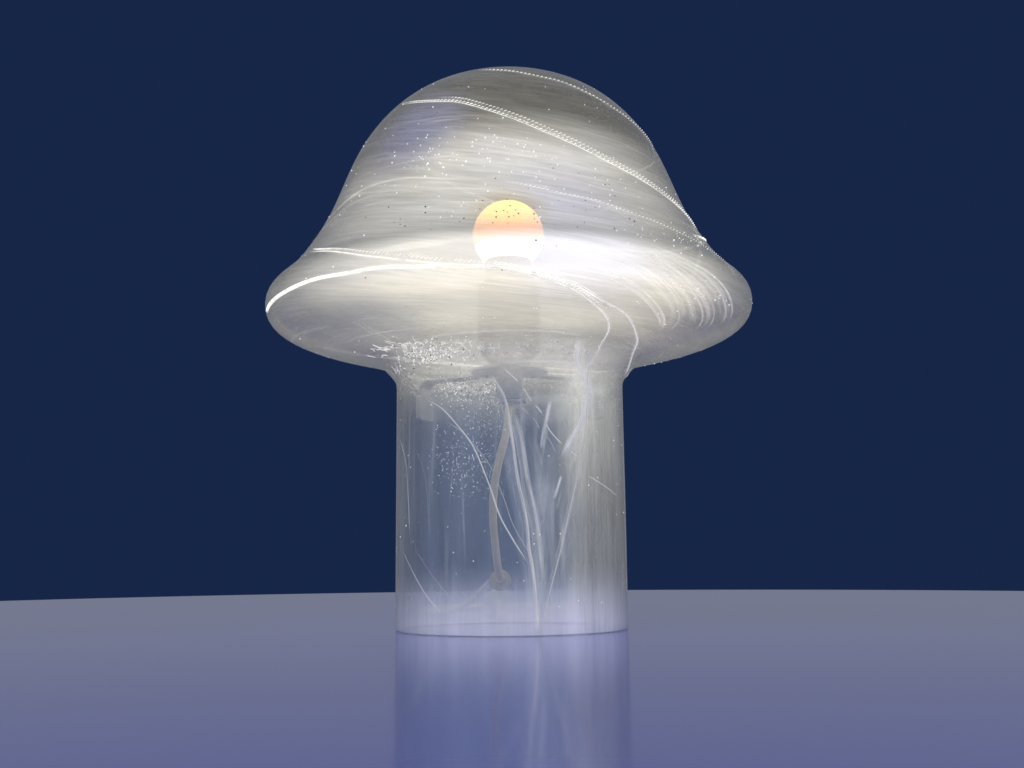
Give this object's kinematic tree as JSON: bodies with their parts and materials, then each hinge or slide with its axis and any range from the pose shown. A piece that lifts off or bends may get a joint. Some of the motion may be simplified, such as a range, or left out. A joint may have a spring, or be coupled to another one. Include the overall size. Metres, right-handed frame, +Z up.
{
  "type": "mushroom table lamp",
  "caption": "Mushroom-shaped blown glass table lamp with a sprung lampholder bracket, screw-in ball bulb, and a mains lead with rocker switch and plug.",
  "frame": {"origin": "centre of the stem's ground rim, on the surface the lamp stands on", "axes": "+Z up the lamp's axis; the lead leaves at the back, towards +Y; the front is -Y"},
  "size_m": [0.3, 0.4398, 0.3434],
  "materials": {
    "glass": "blown, marbled white, seeded",
    "grommet": "matt translucent",
    "bracket": "satin plated",
    "spring_leaf": "satin spring steel",
    "leaf_sleeve": "soft clear sleeve",
    "rivet": "plain",
    "nipple": "turned thread",
    "fastener": "zinc plated",
    "cord_grip": "moulded",
    "holder": "moulded ivory white",
    "holder_core": "ceramic-like",
    "thread_metal": "rolled",
    "contact": "sprung strip",
    "terminal": "machined",
    "core": "insulated core",
    "bulb_glass": "frosted, lit",
    "bulb_collar": "moulded white",
    "bulb_cap": "rolled thread",
    "insulator": "black glass",
    "solder": "soldered",
    "circuit": "white solder mask",
    "chip": "phosphor",
    "driver": "green circuit board",
    "lead": "gold translucent sheath",
    "switch": "moulded ivory white",
    "rocker": "moulded ivory white, polished by use",
    "relief": "soft moulded",
    "plug": "moulded ivory white",
    "pin": "nickelled",
    "pin_sleeve": "black sleeve"
  },
  "bodies": {
    "root": {"arm_rivets": "rivet", "arm_roots": "spring_leaf", "bracket_hub": "bracket", "centre_contact": "contact", "cord_coil": "lead", "cord_grip": "cord_grip", "cord_grip_screw": "cord_grip", "cord_grommet": "grommet", "cord_lead": "lead", "cord_link": "lead", "cord_tail": "lead", "core_wires": "core", "glass_body": "glass", "holder_cap": "holder", "holder_insert": "holder_core", "holder_shell": "holder", "inner_cord": "lead", "lock_nut": "fastener", "lock_washer": "fastener", "plug_body": "plug", "plug_pin_sleeves": "pin_sleeve", "plug_pins": "pin", "plug_relief": "relief", "rocker_pin": "fastener", "side_contact": "contact", "switch_base": "switch", "switch_contacts": "contact", "switch_cover": "switch", "switch_reliefs": "relief", "switch_screws": "fastener", "terminal_blocks": "terminal", "terminal_screws": "fastener", "thread_sleeve": "thread_metal", "threaded_nipple": "nipple"},
    "bulb_carrier": {"bulb_contact": "solder"},
    "bulb": {"bulb_insulator": "insulator", "bulb_cap": "bulb_cap", "bulb_housing": "bulb_collar", "bulb_diffuser": "bulb_glass", "led_board": "circuit", "led_chips": "chip", "driver_board": "driver"},
    "arm_1": {"spring_arm_1": "spring_leaf", "arm_tip_1": "leaf_sleeve"},
    "arm_2": {"spring_arm_2": "spring_leaf", "arm_tip_2": "leaf_sleeve"},
    "arm_3": {"spring_arm_3": "spring_leaf", "arm_tip_3": "leaf_sleeve"},
    "rocker": {"switch_rocker": "rocker", "rocker_bridge": "contact"}
  },
  "joints": [
    {"name": "bulb_rise", "type": "slide", "parent": "root", "child": "bulb_carrier", "axis": [0, 0, 1], "range_m": [0, 0.026]},
    {"name": "bulb_turn", "type": "hinge", "parent": "bulb_carrier", "child": "bulb", "pos_m": [0, 0, 0.2], "axis": [0, 0, 1], "range_deg": [0, 2579]},
    {"name": "arm_1_flex", "type": "hinge", "parent": "root", "child": "arm_1", "pos_m": [0.02104, 0.01215, 0.156], "axis": [-0.5, 0.866, 0], "range_deg": [0, 12], "stiffness_Nm_per_rad": 1, "springref_deg": -5.73},
    {"name": "arm_2_flex", "type": "hinge", "parent": "root", "child": "arm_2", "pos_m": [-0.02104, 0.01215, 0.156], "axis": [-0.5, -0.866, 0], "range_deg": [0, 12], "stiffness_Nm_per_rad": 1, "springref_deg": -5.73},
    {"name": "arm_3_flex", "type": "hinge", "parent": "root", "child": "arm_3", "pos_m": [0, -0.0243, 0.156], "axis": [1, 0, 0], "range_deg": [0, 12], "stiffness_Nm_per_rad": 1, "springref_deg": -5.73},
    {"name": "rocker_tip", "type": "hinge", "parent": "root", "child": "rocker", "pos_m": [-0.01, 0.203, 0.013], "axis": [1, 0, 0], "range_deg": [0, 14]}
  ],
  "couplings": [
    {"joint": "bulb_rise", "follows": "bulb_turn", "m_per_rad": 0.00057757}
  ]
}
